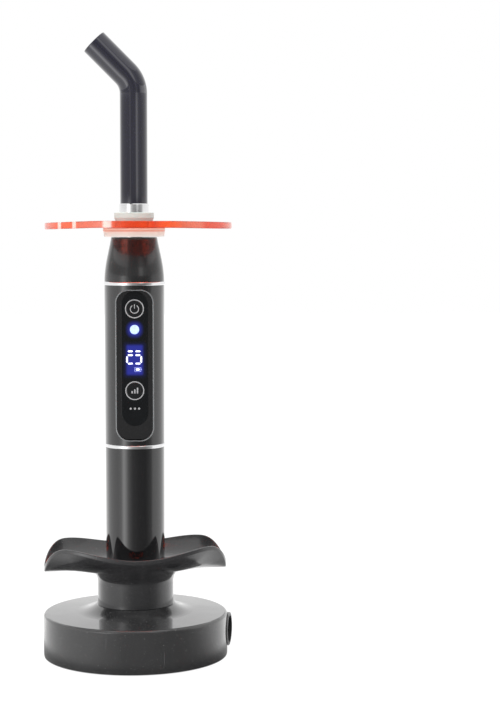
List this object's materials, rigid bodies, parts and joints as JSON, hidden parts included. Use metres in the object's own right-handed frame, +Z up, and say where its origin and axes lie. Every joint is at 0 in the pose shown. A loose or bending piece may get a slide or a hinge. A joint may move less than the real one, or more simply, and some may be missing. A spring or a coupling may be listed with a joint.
{
  "type": "dental curing light",
  "caption": "Cordless dental curing light: slim black handpiece with bent light guide and orange shield, upright in a round charging stand with a wavy tray.",
  "frame": {"origin": "centre of the underside of the foot pad, on the surface that the stand rests on", "axes": "+Z up along the handpiece, the control panel faces -Y, the tip of the light guide points towards -X"},
  "size_m": [0.0824, 0.0804, 0.2698],
  "materials": {
    "foot_rubber": "matte",
    "base_plate_black": "matte",
    "screw_steel": "satin",
    "base_black": "gloss",
    "cradle_black": "gloss",
    "bezel_black": "satin",
    "ballast_iron": "matte",
    "circuit_green": "satin",
    "inner_black": "matte",
    "contact_brass": "polished",
    "spring_steel": "satin",
    "handle_black": "gloss",
    "battery_black": "gloss",
    "nose_black": "gloss",
    "cell_wrap": "gloss",
    "ring_chrome": "polished",
    "panel_black": "gloss",
    "power_button_black": "satin",
    "mode_button_black": "satin",
    "indicator_blue": "glowing",
    "led_white": "gloss",
    "display_blue": "glowing",
    "sink_aluminium": "satin",
    "reflector_mirror": "polished",
    "guide_core_glass": "polished",
    "guide_black": "gloss",
    "ferrule_chrome": "polished",
    "seal_rubber": "matte",
    "grommet_silicone": "translucent satin",
    "shield_orange": "transparent gloss"
  },
  "bodies": {
    "stand": {"foot_pad": "foot_rubber", "base_plate": "base_plate_black", "base_screws": "screw_steel", "base_shell": "base_black", "ballast": "ballast_iron", "charger_board": "circuit_green", "dc_jack": "inner_black", "dc_pin": "contact_brass", "jack_bezel": "bezel_black", "cradle": "cradle_black", "cradle_nut": "inner_black", "charge_well": "inner_black", "pin_board": "circuit_green", "pin_barrels": "contact_brass"},
    "centre_pin": {"centre_pin": "contact_brass"},
    "outer_pin": {"outer_pin": "contact_brass"},
    "handpiece": {"end_cap": "battery_black", "centre_contact": "contact_brass", "ring_contact": "contact_brass", "battery_housing": "battery_black", "battery_contact_bottom": "spring_steel", "battery_cell": "cell_wrap", "battery_contact_top": "spring_steel", "joint_plug": "inner_black", "lower_trim_ring": "ring_chrome", "handle_housing": "handle_black", "panel_lens": "panel_black", "indicator_light": "indicator_blue", "indicator_led": "led_white", "display_module": "display_blue", "main_board": "circuit_green", "board_screws": "screw_steel", "tact_switches": "inner_black", "beeper": "inner_black", "board_chips": "inner_black", "upper_trim_ring": "ring_chrome", "heat_sink": "sink_aluminium", "led_board": "sink_aluminium", "led_emitter": "led_white", "reflector": "reflector_mirror", "nose_housing": "nose_black", "guide_socket": "inner_black"},
    "power_button": {"power_button": "power_button_black"},
    "mode_button": {"mode_button": "mode_button_black"},
    "snap_ring": {"snap_ring": "spring_steel"},
    "light_guide": {"guide_core": "guide_core_glass", "guide_sleeve": "guide_black", "guide_ferrule": "ferrule_chrome", "guide_o_ring": "seal_rubber"},
    "shield_grommet": {"grommet_washer": "grommet_silicone", "shield_grommet": "grommet_silicone"},
    "shield_disc": {"shield_disc": "shield_orange"}
  },
  "joints": [
    {"name": "handpiece_lift", "type": "slide", "parent": "stand", "child": "handpiece", "axis": [0, 0, 1], "range_m": [0, 0.055]},
    {"name": "centre_pin_press", "type": "slide", "parent": "stand", "child": "centre_pin", "axis": [0, 0, 1], "range_m": [-0.0008, 0], "stiffness_N_per_m": 400},
    {"name": "outer_pin_press", "type": "slide", "parent": "stand", "child": "outer_pin", "axis": [0, 0, 1], "range_m": [-0.0008, 0], "stiffness_N_per_m": 400},
    {"name": "power_button_press", "type": "slide", "parent": "handpiece", "child": "power_button", "axis": [0, 1, 0], "range_m": [0, 0.0004], "stiffness_N_per_m": 1000},
    {"name": "mode_button_press", "type": "slide", "parent": "handpiece", "child": "mode_button", "axis": [0, 1, 0], "range_m": [0, 0.0004], "stiffness_N_per_m": 1000},
    {"name": "guide_turn", "type": "hinge", "parent": "handpiece", "child": "snap_ring", "pos_m": [0, 0, 0.1779], "axis": [0, 0, 1], "continuous": true},
    {"name": "guide_pull", "type": "slide", "parent": "snap_ring", "child": "light_guide", "axis": [0, 0, 1], "range_m": [0, 0.018]},
    {"name": "shield_slide", "type": "slide", "parent": "light_guide", "child": "shield_grommet", "axis": [0, 0, 1], "range_m": [0, 0.045]},
    {"name": "shield_turn", "type": "hinge", "parent": "shield_grommet", "child": "shield_disc", "pos_m": [0, 0, 0.188], "axis": [0, 0, 1], "continuous": true}
  ]
}
